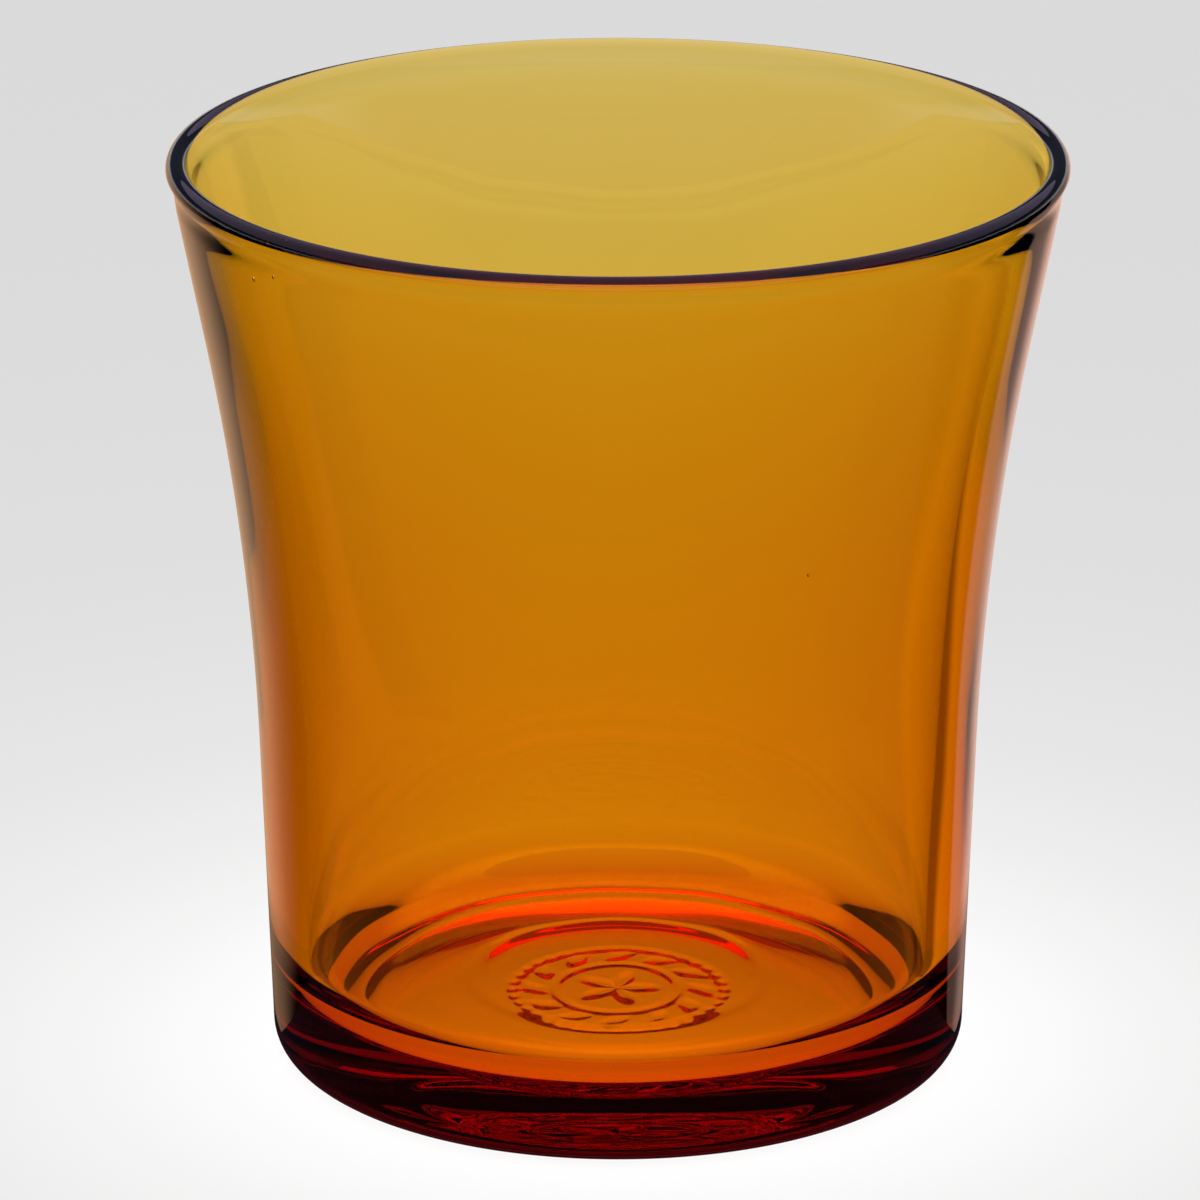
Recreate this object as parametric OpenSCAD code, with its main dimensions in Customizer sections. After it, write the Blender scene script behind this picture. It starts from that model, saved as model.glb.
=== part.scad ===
// A flared drinking tumbler in amber glass, pressed and fire-polished in one piece, with a heavy base.
// The origin is the centre of the foot, on the surface that the tumbler stands on. +Z is its axis.

/* [Outside] */
// Height from the foot to the top of the lip
height = 84.2; // [80:0.1:90]
// Diameter of the lower wall, carried down to the foot
base_d = 62.8; // [61:0.1:64]
// Outward lean of the straight lower wall, in degrees
draft = 2; // [1.5:0.1:2.5]
// Height at which the wall starts to curve outwards
flare_start = 30; // [24:1:36]
// Radius of the outward curve
flare_r = 240; // [225:5:255]
// Lean of the wall under the lip, in degrees
flare_lean = 11; // [9:0.1:12]
// Radius of the rounded heel
heel_r = 2.9; // [2:0.1:4]

/* [Lip] */
// Diameter over the lip
mouth_d = 80; // [79.6:0.1:80.4]
// Radius of the rounded lip
lip_r = 1; // [0.85:0.05:1.1]
// Height of the blend between the round of the lip and the wall
lip_blend = 1.2; // [0.8:0.1:2]
// Height of the narrow neck just under the lip
neck_z = 81.5; // [80:0.1:82]
// Half the height that the neck takes up
neck_w = 0.9; // [0.6:0.1:1.4]
// How far the neck draws the outside of the wall in
neck_out = 0.12; // [0.04:0.02:0.2]

/* [Inside] */
// Wall thickness level with the foot
wall_low = 3.6; // [3:0.1:4.2]
// Wall thickness halfway up
wall_middle = 3.3; // [2.8:0.1:3.6]
// Wall thickness level with the lip
wall_high = 1.9; // [1.7:0.1:2.1]
// Height of the inside floor beside the wall
floor_h = 6; // [5:0.1:8]
// How much higher the inside floor is in the middle
floor_dome = 1; // [0.2:0.1:1.4]
// Radius of the rounded corner between the floor and the wall
corner_r = 6; // [4:0.1:8]
// Radius of the low ridge that rings the inside floor
ridge_r = 13; // [10:0.5:16]
// Height of that ridge
ridge_h = 0.1; // [0.05:0.05:0.3]
// Half the width of that ridge
ridge_w = 0.9; // [0.6:0.1:1.4]

/* [Foot] */
// Outer diameter of the shallow hollow under the base
hollow_d = 49; // [44:0.2:52]
// Depth of that hollow
hollow_depth = 1.85; // [1.2:0.05:2.4]
// How flat the top of the hollow is: 2 is a bowl, and more is flatter
hollow_power = 2.6; // [2:0.2:6]

/* [Medallion] */
// Diameter of the raised ring pressed in the hollow
medallion_d = 20; // [16:0.5:24]
// How far the ring and its petals stand down from the hollow
medallion_h = 0.2; // [0.15:0.05:0.4]
// Number of petals inside the ring
petals = 12; // [6:1:18]

/* [Hidden] */
$fn = 96;

middle_z = 45;        // height at which wall_middle holds
arc_steps = 10;       // straight steps in each small rounded corner
lip_steps = 14;       // straight steps round the lip
wall_steps = 20;      // straight steps in each wall up to the neck
neck_steps = 12;      // straight steps in the neck
floor_steps = 28;     // straight steps across the inside floor
hollow_steps = 12;    // straight steps across the hollow
lip_out = 9;          // degrees by which the round of the lip runs on down the outside
lip_in = 17;          // degrees of the round left out on the inside
foot_bevel = 0.3;     // width of the eased edges of the foot
ring_w = 0.8;         // width of the medallion's ring at its root
petal_w = 1.3;        // width of a petal
petal_in = 0.3;       // where a petal starts, as a part of the ring's radius
petal_out = 0.8;      // where a petal ends, as a part of the ring's radius
sink = 0.4;           // how deep the raised marks reach into the base

// The outward curve touches the straight lower wall and the straight wall under the lip.
base_r = base_d / 2;
curve_x = base_r + flare_start * tan(draft) + flare_r * cos(draft);
curve_z = flare_start - flare_r * sin(draft);
flare_end = curve_z + flare_r * sin(flare_lean);
flare_end_r = curve_x - flare_r * cos(flare_lean);

// Radius of the outer wall at height z, the heel, the neck and the lip apart
function outer_r(z) =
    z < flare_start ? base_r + z * tan(draft) :
    z < flare_end ? curve_x - sqrt(pow(flare_r, 2) - pow(z - curve_z, 2)) :
    flare_end_r + (z - flare_end) * tan(flare_lean);

// Thickness of the wall: a parabola through its low, middle and high values
wall_slope = (wall_middle - wall_low) / middle_z;
wall_bend = (wall_high - wall_low - wall_slope * height) / (height * (height - middle_z));
function wall(z) = wall_low + wall_slope * z + wall_bend * z * (z - middle_z);

// How much of the neck is felt at height z, from 0 to 1
function neck(z) = exp(-pow((z - neck_z) / neck_w, 2));

// Radius of the inner wall at height z
function inner_r(z) = outer_r(z) - wall(z);

// Height of the hollow's surface at radius r
function hollow_z(r) = hollow_depth * (1 - pow(r / (hollow_d / 2), hollow_power));

// Height of the inside floor at radius r, for a floor whose edge lies at (edge_r, edge_z)
function floor_z(r, edge_r, edge_z) =
    edge_z + floor_dome * (1 - pow(r / edge_r, 2)) + ridge_h * exp(-pow((r - ridge_r) / ridge_w, 2));

// Evenly spaced values from one number to another
function spread(from, to, steps) = [for (i = [0:steps]) from + (to - from) * i / steps];

// Points along an arc about (x, z)
function arc(x, z, r, from, to, steps) = [for (a = spread(from, to, steps)) [x + r * cos(a), z + r * sin(a)]];

// Centres and ends of the heel, the lip and the inside corner
heel_x = outer_r(heel_r) - heel_r / cos(draft);
lip_z = height - lip_r;
side_top = lip_z - lip_blend;
neck_bottom = neck_z - 2.2 * neck_w;
corner_z = floor_h + corner_r;
inner_lean = atan((inner_r(corner_z + 5) - inner_r(corner_z)) / 5);
corner_x = inner_r(corner_z) - corner_r / cos(inner_lean);
inside_bottom = corner_z - corner_r * sin(inner_lean);
floor_lean = atan(2 * floor_dome / corner_x);

// Half of the tumbler's section, from the middle of the hollow round to the middle of the inside floor
module section() {
    hollow = [for (r = spread(0, hollow_d / 2, hollow_steps)) [r, hollow_z(r)]];
    foot = [[hollow_d / 2 + foot_bevel, 0]];
    heel = arc(heel_x, heel_r, heel_r, -90, -draft, arc_steps);
    outer = [
        for (z = spread(heel_r + 1, neck_bottom, wall_steps)) [outer_r(z) - neck_out * neck(z), z],
        for (z = spread(neck_bottom + 0.4, side_top, neck_steps)) [outer_r(z) - neck_out * neck(z), z]
    ];
    lip = arc(mouth_d / 2 - lip_r, lip_z, lip_r, -lip_out, 180 - lip_in, lip_steps);
    inner = [
        for (z = spread(side_top, neck_bottom + 0.4, neck_steps)) [inner_r(z), z],
        for (z = spread(neck_bottom, inside_bottom + 1, wall_steps)) [inner_r(z), z]
    ];
    corner = arc(corner_x, corner_z, corner_r, -inner_lean, -90 - floor_lean, arc_steps);
    edge = corner[arc_steps];
    inside_floor = [for (i = [1:floor_steps]) let (r = edge[0] * (1 - i / floor_steps))
        [r, floor_z(r, edge[0], edge[1])]];
    polygon(concat(hollow, foot, heel, outer, lip, inner, corner, inside_floor));
}

// A low raised ring with a rounded face, which hangs in the hollow
module medallion_ring() {
    mark_z = hollow_z(medallion_d / 2);
    rotate_extrude()
        translate([medallion_d / 2 - ring_w / 2, mark_z])
            polygon([[-ring_w / 2, sink], [-ring_w / 4, -medallion_h], [ring_w / 4, -medallion_h],
                [ring_w / 2, sink]]);
}

// Plain radial petals inside the ring
module medallion_petals() {
    length = medallion_d / 2 * (petal_out - petal_in);
    mark_z = hollow_z(medallion_d / 2 * petal_out);
    for (i = [0:petals - 1])
        rotate(i * 360 / petals)
            translate([medallion_d / 2 * petal_in, -petal_w / 2, mark_z - medallion_h])
                cube([length, petal_w, sink + medallion_h]);
}

module tumbler() {
    color([0.78, 0.48, 0.02, 0.6]) {
        rotate_extrude() section();
        medallion_ring();
        medallion_petals();
    }
}

tumbler();
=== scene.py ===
"""Looks for the amber glass tumbler: one lathed glass piece, a pale floor, soft light and the camera."""
import math

import bmesh
import bpy
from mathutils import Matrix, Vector


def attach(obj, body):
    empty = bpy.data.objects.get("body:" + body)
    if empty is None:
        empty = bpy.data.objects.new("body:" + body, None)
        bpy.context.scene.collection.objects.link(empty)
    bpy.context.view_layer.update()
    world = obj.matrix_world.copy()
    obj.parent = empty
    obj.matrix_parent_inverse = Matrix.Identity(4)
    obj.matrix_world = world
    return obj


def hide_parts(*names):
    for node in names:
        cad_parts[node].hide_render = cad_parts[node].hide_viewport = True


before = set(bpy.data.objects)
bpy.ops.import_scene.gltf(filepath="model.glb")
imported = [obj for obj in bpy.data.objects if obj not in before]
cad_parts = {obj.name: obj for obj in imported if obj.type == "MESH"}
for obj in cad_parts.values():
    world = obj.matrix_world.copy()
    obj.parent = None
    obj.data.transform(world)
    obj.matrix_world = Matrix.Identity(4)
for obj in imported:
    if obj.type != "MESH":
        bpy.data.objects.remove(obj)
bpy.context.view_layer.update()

# ---- Sizes of the glass, in millimetres, the same as the CAD part's ----
MM = 0.001
HEIGHT = 84.2
MOUTH_R = 40.0
LIP_R = 1.0
LIP_BLEND = 1.2       # height of the blend between the round of the lip and the wall
LIP_OUT = 0.15        # angle by which the round of the lip runs on down the outside, in radians
LIP_IN = 0.3          # angle of the round left out on the inside
NECK_Z = 81.5
NECK_W = 0.9
NECK_REACH = 2.2      # how many times NECK_W the neck reaches down
NECK_OUT = 0.12
BASE_R = 31.4
DRAFT = math.radians(2)
FLARE_START = 30.0
FLARE_R = 240.0
FLARE_LEAN = math.radians(11)
HEEL_R = 2.9
WALL_LOW = 3.6
WALL_MIDDLE = 3.3
WALL_HIGH = 1.9
MIDDLE_Z = 45.0
FLOOR_H = 6.0
FLOOR_DOME = 1.0
CORNER_R = 6.0
RIDGE_R = 13.0
RIDGE_H = 0.1
RIDGE_W = 0.9
HOLLOW_R = 24.5
HOLLOW_DEPTH = 1.85
HOLLOW_POWER = 2.6    # 2 would be a bowl, and more is flatter
FOOT_BEVEL = 0.3
MEDALLION_R = 10.0
MEDALLION_H = 0.2
PETALS = 12
WAVE = 0.03           # how uneven the inside of the wall is
SEEDS = [(-2.52, 79.2, 0.16), (-2.44, 80.1, 0.12), (0.9, 36, 0.14)]  # turn, height and radius of each bubble
SEED_STRETCH = 1.4

# ---- Glass ----
GLASS_IOR = 1.52
ABSORB = (38.0, 196.0, 950.0)  # absorbed per metre in red, green and blue

# ---- Light table, sky and cards ----
FLOOR_R = 6.0
FLOOR_GAP = 0.0001              # the table lies just under the foot
FLOOR_ALBEDO = 0.05
GLOW_NEAR = 1.1                 # the table's light at the glass
GLOW_FAR = 0.55                 # and far from it
GLOW_R = 0.045                  # distance at which half of the difference is gone
HORIZON = 0.64                  # strength of the pale band at the horizon
HORIZON_START = -5              # degrees above the horizon at which the band comes up
HORIZON_FULL = -3
HORIZON_FADE = 4                # and at which it fades
HORIZON_GONE = 8
DOME = 4.8                      # strength of the overhead light
DOME_START = 34                 # degrees above the horizon at which it starts
DOME_FULL = 46                  # and at which it is at full strength
ROOM = (0.05, 0.055, 0.09, 1)
ROOM_LOW = 0.2                  # how much of the room is left well below the horizon
ROOM_START = -12                # degrees above the horizon at which the room comes up
ROOM_FULL = -4
CARD_RIGHT = (1.05, 0.63, 0.5, 1)
CARD_LEFT = (0.8, 0.46, 0.26, 1)
CARD_R = 3.0
CARD_RISE = 12                  # degrees outwards of the side at which a card reaches its level
CARD_RIGHT_FADE = 40            # degrees outwards at which the right card fades
CARD_RIGHT_GONE = 44
CARD_LEFT_FADE = 24             # degrees outwards at which the left card fades
CARD_LEFT_GONE = 62
CARD_LOW = 0.4                  # a card's level straight behind the side of the glass
CARD_NEAR_SHADE = 0.45                # a card's level close to the glass: a painted shadow of the glass on the floor that the card's reflection stands for
NEAR_START = 0.045              # where that level starts to rise, as a distance from the axis
NEAR_END = 0.06                 # and where it has risen
CARD_BEND = 0.45                # the right card's level towards its end
BEND_START = 16                 # degrees outwards at which it drops to that level
BEND_END = 30
SIDE_X = 0.033                  # how far the sides of the glass are from its axis
SIDE_Y = 0.005                  # keeps the angle defined beside the axis
BACK_R = 0.034                  # cards and flags start just outside the foot
FLAG_R = 1.2
FLAG_STRIPE = 0.3               # extra light of the right flag's bright stripe
STRIPE_START = 8                # degrees outwards at which the stripe comes up
STRIPE_FULL = 13
FLAG_RIGHT = 0.3                # level of the right flag's dark part
RIGHT_START = 36                # degrees outwards at which that part starts
RIGHT_FULL = 44
FLAG_LEFT = 0.75                # level of the left flag's dark part
LEFT_START = 2
LEFT_FULL = 28
FADE_START = 58                 # degrees outwards at which the flags start to fade
FADE_END = 84                   # and at which they're gone
CEILING_R = 2.4
CEILING_Z = 0.9
CEILING = 0.5                   # strength of the ceiling card
CEILING_COLOUR = (0.8, 0.65, 1, 1)


# ---- Outline ----
curve_x = BASE_R + FLARE_START * math.tan(DRAFT) + FLARE_R * math.cos(DRAFT)
curve_z = FLARE_START - FLARE_R * math.sin(DRAFT)
flare_end = curve_z + FLARE_R * math.sin(FLARE_LEAN)
flare_end_r = curve_x - FLARE_R * math.cos(FLARE_LEAN)


def outer_r(z):
    """Radius of the outer wall: straight, then an arc, then straight again."""
    if z < FLARE_START:
        return BASE_R + z * math.tan(DRAFT)
    if z < flare_end:
        return curve_x - math.sqrt(FLARE_R ** 2 - (z - curve_z) ** 2)
    return flare_end_r + (z - flare_end) * math.tan(FLARE_LEAN)


def wall(z):
    """Thickness of the wall: a parabola through its low, middle and high values."""
    slope = (WALL_MIDDLE - WALL_LOW) / MIDDLE_Z
    bend = (WALL_HIGH - WALL_LOW - slope * HEIGHT) / (HEIGHT * (HEIGHT - MIDDLE_Z))
    return WALL_LOW + slope * z + bend * z * (z - MIDDLE_Z)


def neck(z):
    """How much of the narrow neck under the fire-polished rim is felt at height z, from 0 to 1."""
    return math.exp(-((z - NECK_Z) / NECK_W) ** 2)


def inner_r(z):
    return outer_r(z) - wall(z)


def arc(x, z, r, start, end, steps):
    angles = [start + (end - start) * i / steps for i in range(steps + 1)]
    return [(x + r * math.cos(a), z + r * math.sin(a)) for a in angles]


def spread(start, end, steps):
    return [start + (end - start) * i / steps for i in range(steps + 1)]


def hollow_z(r):
    return HOLLOW_DEPTH * (1 - (r / HOLLOW_R) ** HOLLOW_POWER)


def ridge(r):
    """Height of the low ring that the plunger leaves on the inside floor."""
    return RIDGE_H * math.exp(-((r - RIDGE_R) / RIDGE_W) ** 2)


def step(value, start, end):
    """Smooth step from 0 at start to 1 at end."""
    t = min(max((value - start) / (end - start), 0), 1)
    return t * t * (3 - 2 * t)


def medallion(r, turn):
    """Height of the worn rosette in the hollow: a rim of beads, a wreath of leaves and a flower."""
    rim = step(abs(r - MEDALLION_R + 0.5), 0.8, 0) * (0.8 + 0.2 * math.cos(3 * PETALS * turn))
    inner_rim = 0.5 * step(abs(r - 5.6), 0.8, 0)
    leaf = math.cos(PETALS * turn + 0.9 * (r - 7.4))
    wreath = 0.7 * step(abs(r - 7.6), 1.6, 0.2) * step(leaf, -0.6, 1)
    flower = 0.8 * step(r, 3.4 + 1.1 * math.cos(5 * turn), 1.0 + 1.1 * math.cos(5 * turn))
    return MEDALLION_H * max(rim, inner_rim, wreath, flower)


def waviness(r, z, turn):
    """Slight unevenness of the pressed inside, as a radial shift: nothing at the lip and in the middle."""
    slow = math.cos(3 * turn + 0.6) + 0.7 * math.cos(5 * turn + z / 17 + 2.1)
    quick = 0.35 * math.cos(11 * turn - z / 9 + 0.4) + 0.2 * math.cos(19 * turn + z / 6)
    return WAVE * (slow + quick) * step(z, HEIGHT - 3, HEIGHT - 14) * step(r, 6, 20)


def outline():
    """Half of the section, from the middle of the underside round to the middle of the inside floor."""
    heel_x = outer_r(HEEL_R) - HEEL_R / math.cos(DRAFT)
    corner_z = FLOOR_H + CORNER_R
    inner_lean = math.atan((inner_r(corner_z + 5) - inner_r(corner_z)) / 5)
    corner_x = inner_r(corner_z) - CORNER_R / math.cos(inner_lean)
    floor_slope = math.atan(-2 * FLOOR_DOME / corner_x)
    lip_z = HEIGHT - LIP_R
    side_top = lip_z - LIP_BLEND
    neck_bottom = NECK_Z - NECK_REACH * NECK_W
    inside_bottom = corner_z - CORNER_R * math.sin(inner_lean)

    points = [(r, hollow_z(r)) for r in spread(0, HOLLOW_R, 96)[1:]]
    points += [(HOLLOW_R + FOOT_BEVEL, 0.0), (heel_x - FOOT_BEVEL, 0.0)]
    points += arc(heel_x, HEEL_R, HEEL_R, -math.pi / 2, -DRAFT, 14)
    heights = spread(HEEL_R, neck_bottom, 70)[1:] + spread(neck_bottom, side_top, 18)[1:]
    points += [(outer_r(z) - NECK_OUT * neck(z), z) for z in heights]
    points += arc(MOUTH_R - LIP_R, lip_z, LIP_R, -LIP_OUT, math.pi - LIP_IN, 22)
    inside_start = len(points)
    points += [(inner_r(z), z) for z in spread(side_top, inside_bottom, 84)[:-1]]
    corner = arc(corner_x, corner_z, CORNER_R, -inner_lean, floor_slope - math.pi / 2, 22)
    points += corner
    edge_r, edge_z = corner[-1]
    for r in spread(edge_r, 0, 56)[1:-1]:
        points.append((r, edge_z + FLOOR_DOME * (1 - (r / edge_r) ** 2) + ridge(r)))
    return points, inside_start, edge_z + FLOOR_DOME


def new_object(name, bm):
    mesh = bpy.data.meshes.new(name)
    bm.to_mesh(mesh)
    bm.free()
    for face in mesh.polygons:
        face.use_smooth = True
    obj = bpy.data.objects.new(name, mesh)
    bpy.context.scene.collection.objects.link(obj)
    return obj


def ring(bm, r, z, sectors, shift=None):
    """A ring of vertices; shift gives how far each one moves outwards and upwards."""
    verts = []
    for k in range(sectors):
        turn = 2 * math.pi * k / sectors
        out, up = shift(r, z, turn) if shift else (0, 0)
        verts.append(bm.verts.new(((r + out) * math.cos(turn), (r + out) * math.sin(turn), z + up)))
    return verts


def join_rings(bm, rings):
    for a, b in zip(rings, rings[1:]):
        for k in range(len(a)):
            m = (k + 1) % len(a)
            bm.faces.new((a[k], a[m], b[m], b[k]))


def wavy(r, z, turn):
    """Waviness in metres, for a ring of the inside."""
    return waviness(r / MM, z / MM, turn) * MM, 0


def marked(r, z, turn):
    """The medallion's relief in metres, which stands down into the hollow."""
    return 0, -medallion(r / MM, turn) * MM


def make_tumbler(sectors=240):
    """The whole glass as one closed skin, with a few bubbles in the wall."""
    points, inside_start, floor_z = outline()
    bm = bmesh.new()
    rings = []
    for i, (r, z) in enumerate(points):
        shift = wavy if i > inside_start else None
        if not shift and r < MEDALLION_R + 1:
            shift = marked
        rings.append(ring(bm, r * MM, z * MM, sectors, shift))
    join_rings(bm, rings)
    low = bm.verts.new((0, 0, (HOLLOW_DEPTH - MEDALLION_H) * MM))
    high = bm.verts.new((0, 0, floor_z * MM))
    for k in range(sectors):
        m = (k + 1) % sectors
        bm.faces.new((low, rings[0][m], rings[0][k]))
        bm.faces.new((high, rings[-1][k], rings[-1][m]))
    bmesh.ops.recalc_face_normals(bm, faces=bm.faces)
    for place in SEEDS:
        add_seed(bm, *place)
    return new_object("tumbler_glass", bm)


def add_seed(bm, turn, z, size):
    """A tiny air bubble in the middle of the wall, a little taller than it is wide."""
    r = (outer_r(z) + inner_r(z)) / 2
    middle = Vector((r * math.cos(turn), r * math.sin(turn), z)) * MM
    made = bmesh.ops.create_icosphere(bm, subdivisions=2, radius=size * MM)
    for vert in made["verts"]:
        vert.co = Vector((vert.co.x, vert.co.y, vert.co.z * SEED_STRETCH)) + middle
    faces = {face for vert in made["verts"] for face in vert.link_faces}
    bmesh.ops.reverse_faces(bm, faces=list(faces))


def glass_material():
    """Clear glass whose colour comes from what it absorbs along the light's way through it."""
    mat = bpy.data.materials.new("amber_glass")
    mat.use_nodes = True
    nodes, links = mat.node_tree.nodes, mat.node_tree.links
    bsdf = nodes["Principled BSDF"]
    bsdf.inputs["Base Color"].default_value = (1, 1, 1, 1)
    bsdf.inputs["Roughness"].default_value = 0.0
    bsdf.inputs["IOR"].default_value = GLASS_IOR
    bsdf.inputs["Transmission Weight"].default_value = 1.0
    density = max(ABSORB)
    tint = nodes.new("ShaderNodeVolumeAbsorption")
    tint.inputs["Color"].default_value = tuple(1 - a / density for a in ABSORB) + (1,)
    tint.inputs["Density"].default_value = density
    links.new(tint.outputs[0], nodes["Material Output"].inputs["Volume"])
    return mat


tumbler = make_tumbler()
tumbler.data.materials.append(glass_material())
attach(tumbler, "root")
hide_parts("tumbler")


# ---- Stage ----
class Nodes:
    """Short names for the few nodes that the stage's materials share."""

    def __init__(self, tree):
        self.tree = tree

    def put(self, socket, value):
        if isinstance(value, (int, float)):
            socket.default_value = value
        else:
            self.tree.links.new(value, socket)

    def maths(self, operation, *values):
        node = self.tree.nodes.new("ShaderNodeMath")
        node.operation = operation
        for socket, value in zip(node.inputs, values):
            self.put(socket, value)
        return node.outputs[0]

    def ramp(self, value, start, end, low, high):
        node = self.tree.nodes.new("ShaderNodeMapRange")
        node.interpolation_type = "SMOOTHSTEP"
        for socket, number in zip(node.inputs, (value, start, end, low, high)):
            self.put(socket, number)
        return node.outputs[0]

    def place(self, kind):
        """X, Y, Z and distance from the origin, in object or direction coordinates."""
        source = self.tree.nodes.new("ShaderNodeTexCoord").outputs[kind]
        split = self.tree.nodes.new("ShaderNodeSeparateXYZ")
        self.tree.links.new(source, split.inputs[0])
        length = self.tree.nodes.new("ShaderNodeVectorMath")
        length.operation = "LENGTH"
        self.tree.links.new(source, length.inputs[0])
        return split.outputs[0], split.outputs[1], split.outputs[2], length.outputs["Value"]


def glow(n, distance):
    """Strength of the table's light, which falls off with the distance from the glass."""
    spread_out = n.maths("ADD", n.maths("POWER", n.maths("DIVIDE", distance, GLOW_R), 2), 1)
    return n.maths("ADD", n.maths("DIVIDE", GLOW_NEAR - GLOW_FAR, spread_out), GLOW_FAR)


def table_material(name, side=0, shade=None):
    """Opal acrylic lit from below, brightest round the glass, and shaded by angle on a flag."""
    mat = bpy.data.materials.new(name)
    mat.use_nodes = True
    n = Nodes(mat.node_tree)
    bsdf = mat.node_tree.nodes["Principled BSDF"]
    bsdf.inputs["Roughness"].default_value = 0.9
    bsdf.inputs["Specular IOR Level"].default_value = 0.0
    bsdf.inputs["Emission Color"].default_value = (1, 1, 1, 1)
    strength = glow(n, n.place("Object")[3])
    if shade:
        level = shade(n, side_angle(n, side))
        n.put(bsdf.inputs["Base Color"], n.maths("MULTIPLY", level, FLOOR_ALBEDO))
        strength = n.maths("MULTIPLY", strength, level)
    else:
        bsdf.inputs["Base Color"].default_value = (FLOOR_ALBEDO, FLOOR_ALBEDO, FLOOR_ALBEDO, 1)
    n.put(bsdf.inputs["Emission Strength"], strength)
    return mat


def disc(name, radius, z, sectors=128):
    bm = bmesh.new()
    bm.faces.new(ring(bm, radius, z, sectors))
    return new_object(name, bm)


def make_floor():
    floor = disc("floor", FLOOR_R, -FLOOR_GAP)
    floor.data.materials.append(table_material("pale_floor"))
    floor.visible_glossy = False


def glossy_only(obj):
    """A card that only shows as a reflection, so it lights the glass's surface and not its inside."""
    obj.visible_camera = False
    obj.visible_diffuse = False
    obj.visible_transmission = False
    obj.visible_shadow = False


def card_material(name):
    mat = bpy.data.materials.new(name)
    mat.use_nodes = True
    tree = mat.node_tree
    tree.nodes.remove(tree.nodes["Principled BSDF"])
    emission = tree.nodes.new("ShaderNodeEmission")
    tree.links.new(emission.outputs[0], tree.nodes["Material Output"].inputs["Surface"])
    return mat, Nodes(tree), emission


def side_angle(n, side):
    """Degrees by which a place behind the glass lies outwards of its side, seen from that side."""
    x, y = n.place("Object")[:2]
    outward = n.maths("SUBTRACT", n.maths("MULTIPLY", x, side), SIDE_X)
    angle = n.maths("ARCTAN2", outward, n.maths("ADD", y, SIDE_Y))
    return n.maths("MULTIPLY", angle, 180 / math.pi)


def quarter_ring(name, side, inner, outer, sectors=64):
    """The quarter of a flat ring that lies behind the glass and to one side."""
    bm = bmesh.new()
    rings = []
    for r in (inner, outer):
        turns = [math.pi / 2 * k / sectors for k in range(sectors + 1)]
        rings.append([bm.verts.new((side * r * math.cos(a), r * math.sin(a), 0)) for a in turns])
    for k in range(sectors):
        bm.faces.new((rings[0][k], rings[0][k + 1], rings[1][k + 1], rings[1][k]))
    return new_object(name, bm)


def make_edge_card(name, side, colour, fade, gone, end_level):
    """A warm card behind the glass that its side reflects, dimmer towards the angle where the card ends."""
    mat, n, emission = card_material(name)
    angle = side_angle(n, side)
    emission.inputs["Color"].default_value = colour
    strength = n.maths("MULTIPLY", n.ramp(angle, 0, CARD_RISE, CARD_LOW, 1), n.ramp(angle, fade, gone, 1, 0))
    strength = n.maths("MULTIPLY", strength, n.ramp(angle, BEND_START, BEND_END, 1, end_level))
    # Dimmer close to the glass: a painted shadow of the glass in the reflected floor.
    distance = n.place("Object")[3]
    strength = n.maths("MULTIPLY", strength, n.ramp(distance, NEAR_START, NEAR_END, CARD_NEAR_SHADE, 1))
    n.put(emission.inputs["Strength"], strength)
    card = quarter_ring(name, side, BACK_R, CARD_R)
    card.data.materials.append(mat)
    glossy_only(card)


def make_flag(name, side, shade):
    """A darker patch of table that only light through the glass sees, so that its sides have contours."""
    flag = quarter_ring(name, side, BACK_R, FLAG_R)
    flag.data.materials.append(table_material(name, side, shade))
    flag.visible_camera = False
    flag.visible_diffuse = False
    flag.visible_glossy = False
    flag.visible_shadow = False


def faded_out(n, angle, level):
    """The same shade, gone before the flag's own edge, so that no line shows from the side."""
    return n.maths("MAXIMUM", level, n.ramp(angle, FADE_START, FADE_END, 0, 1))


def right_shade(n, angle):
    """A bright stripe, then dark."""
    unfaded = n.ramp(angle, FADE_START, FADE_END, 1, 0)
    stripe = n.maths("MULTIPLY", n.ramp(angle, STRIPE_START, STRIPE_FULL, 0, FLAG_STRIPE), unfaded)
    dark = faded_out(n, angle, n.ramp(angle, RIGHT_START, RIGHT_FULL, 1, FLAG_RIGHT))
    return n.maths("MULTIPLY", n.maths("ADD", stripe, 1), dark)


def left_shade(n, angle):
    """Gently darker outwards."""
    return faded_out(n, angle, n.ramp(angle, LEFT_START, LEFT_FULL, 1, FLAG_LEFT))


def make_ceiling_card():
    """Hides the bright sky from the surface's reflections, and leaves a faint violet one on the rim."""
    mat, n, emission = card_material("ceiling_card")
    emission.inputs["Color"].default_value = CEILING_COLOUR
    emission.inputs["Strength"].default_value = CEILING
    card = disc("ceiling_card", CEILING_R, CEILING_Z)
    card.data.materials.append(mat)
    glossy_only(card)


def sine(degrees):
    return math.sin(math.radians(degrees))


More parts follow.
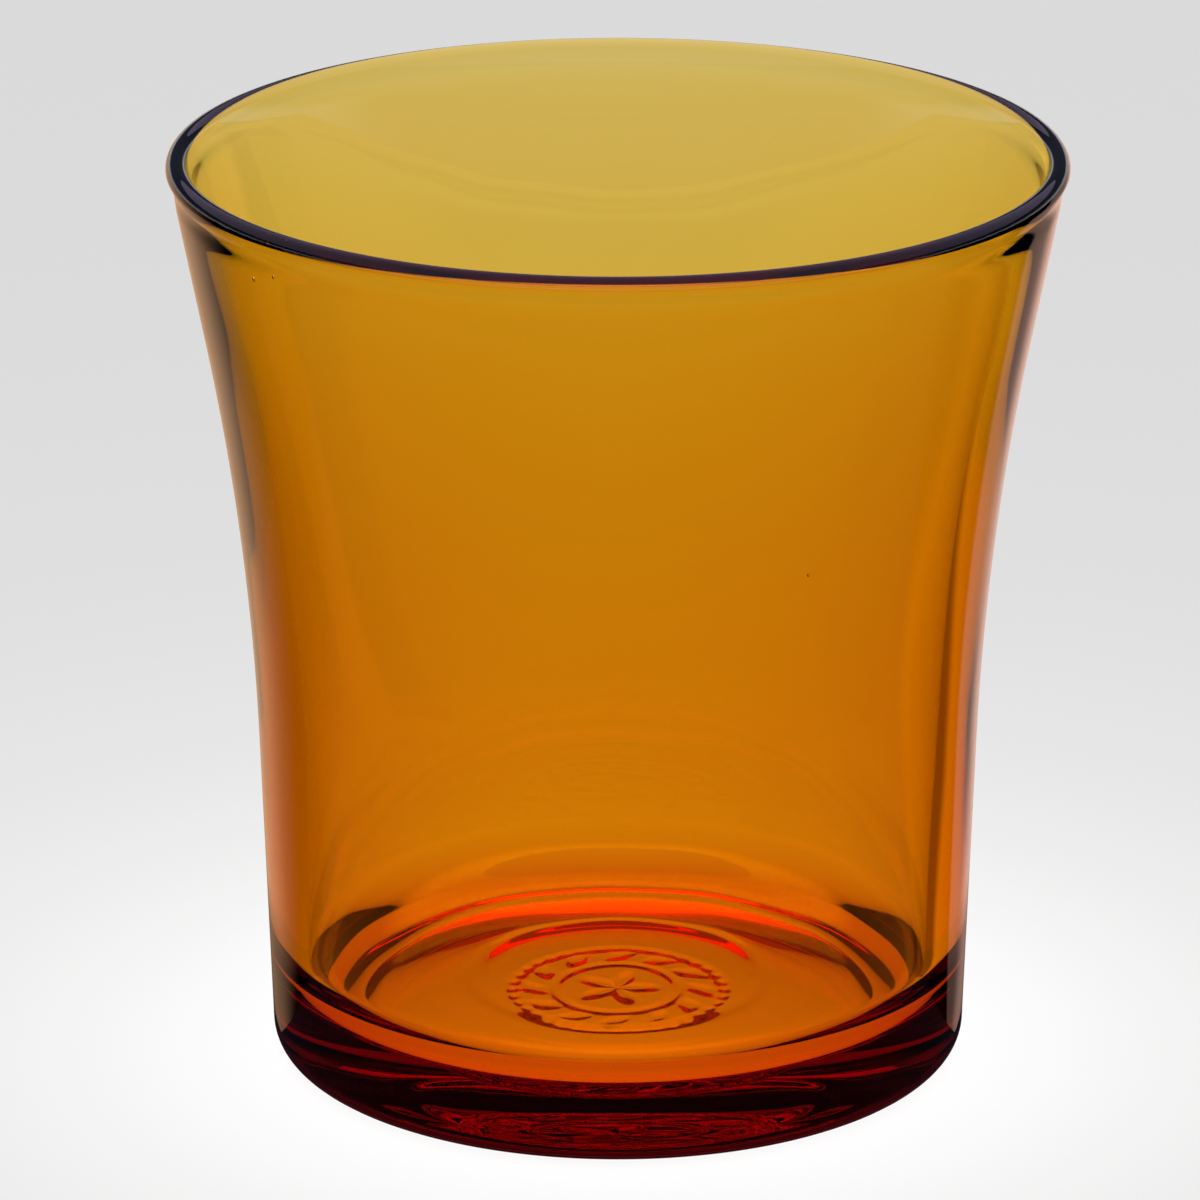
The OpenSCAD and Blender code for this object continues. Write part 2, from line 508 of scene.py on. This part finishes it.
def make_sky():
    """A broad soft light overhead, a pale horizon that meets the floor, and a dim blue room between."""
    world = bpy.data.worlds.new("studio")
    bpy.context.scene.world = world
    world.use_nodes = True
    tree = world.node_tree
    n = Nodes(tree)
    height = n.place("Generated")[2]
    dome = n.ramp(height, sine(DOME_START), sine(DOME_FULL), 0, DOME)
    rise = n.ramp(height, sine(HORIZON_START), sine(HORIZON_FULL), 0, HORIZON)
    horizon = n.maths("MULTIPLY", rise, n.ramp(height, sine(HORIZON_FADE), sine(HORIZON_GONE), 1, 0))
    white = tree.nodes.new("ShaderNodeBackground")
    n.put(white.inputs["Strength"], n.maths("ADD", dome, horizon))
    room = tree.nodes["Background"]
    room.inputs["Color"].default_value = ROOM
    n.put(room.inputs["Strength"], n.ramp(height, sine(ROOM_START), sine(ROOM_FULL), ROOM_LOW, 1))
    both = tree.nodes.new("ShaderNodeAddShader")
    white.inputs["Color"].default_value = (1, 1, 1, 1)
    tree.links.new(white.outputs[0], both.inputs[0])
    tree.links.new(room.outputs[0], both.inputs[1])
    tree.links.new(both.outputs[0], tree.nodes["World Output"].inputs["Surface"])


make_floor()
make_edge_card("right_card", 1, CARD_RIGHT, CARD_RIGHT_FADE, CARD_RIGHT_GONE, CARD_BEND)
make_edge_card("left_card", -1, CARD_LEFT, CARD_LEFT_FADE, CARD_LEFT_GONE, 1)
make_flag("right_flag", 1, right_shade)
make_flag("left_flag", -1, left_shade)
make_ceiling_card()
make_sky()

# ---- Camera ----
CAM_BACK = 0.6957
CAM_UP = 0.2790
CAM_PITCH = math.radians(18.79)
FOCAL_PARTS = 8156.9 / 1200   # focal length as a part of the frame's width
SHIFT_PARTS = -18 / 1200      # sideways shift, likewise
SENSOR = 36.0
cam_data = bpy.data.cameras.new("camera")
cam_data.sensor_width = SENSOR
cam_data.lens = FOCAL_PARTS * SENSOR
cam_data.shift_x = SHIFT_PARTS
camera = bpy.data.objects.new("camera", cam_data)
camera.location = (0, -CAM_BACK, CAM_UP)
camera.rotation_euler = (math.pi / 2 - CAM_PITCH, 0, 0)
bpy.context.scene.collection.objects.link(camera)
bpy.context.scene.camera = camera

scene = bpy.context.scene
scene.view_settings.view_transform = "Standard"
scene.cycles.max_bounces = 32
scene.cycles.transmission_bounces = 32
scene.cycles.glossy_bounces = 24
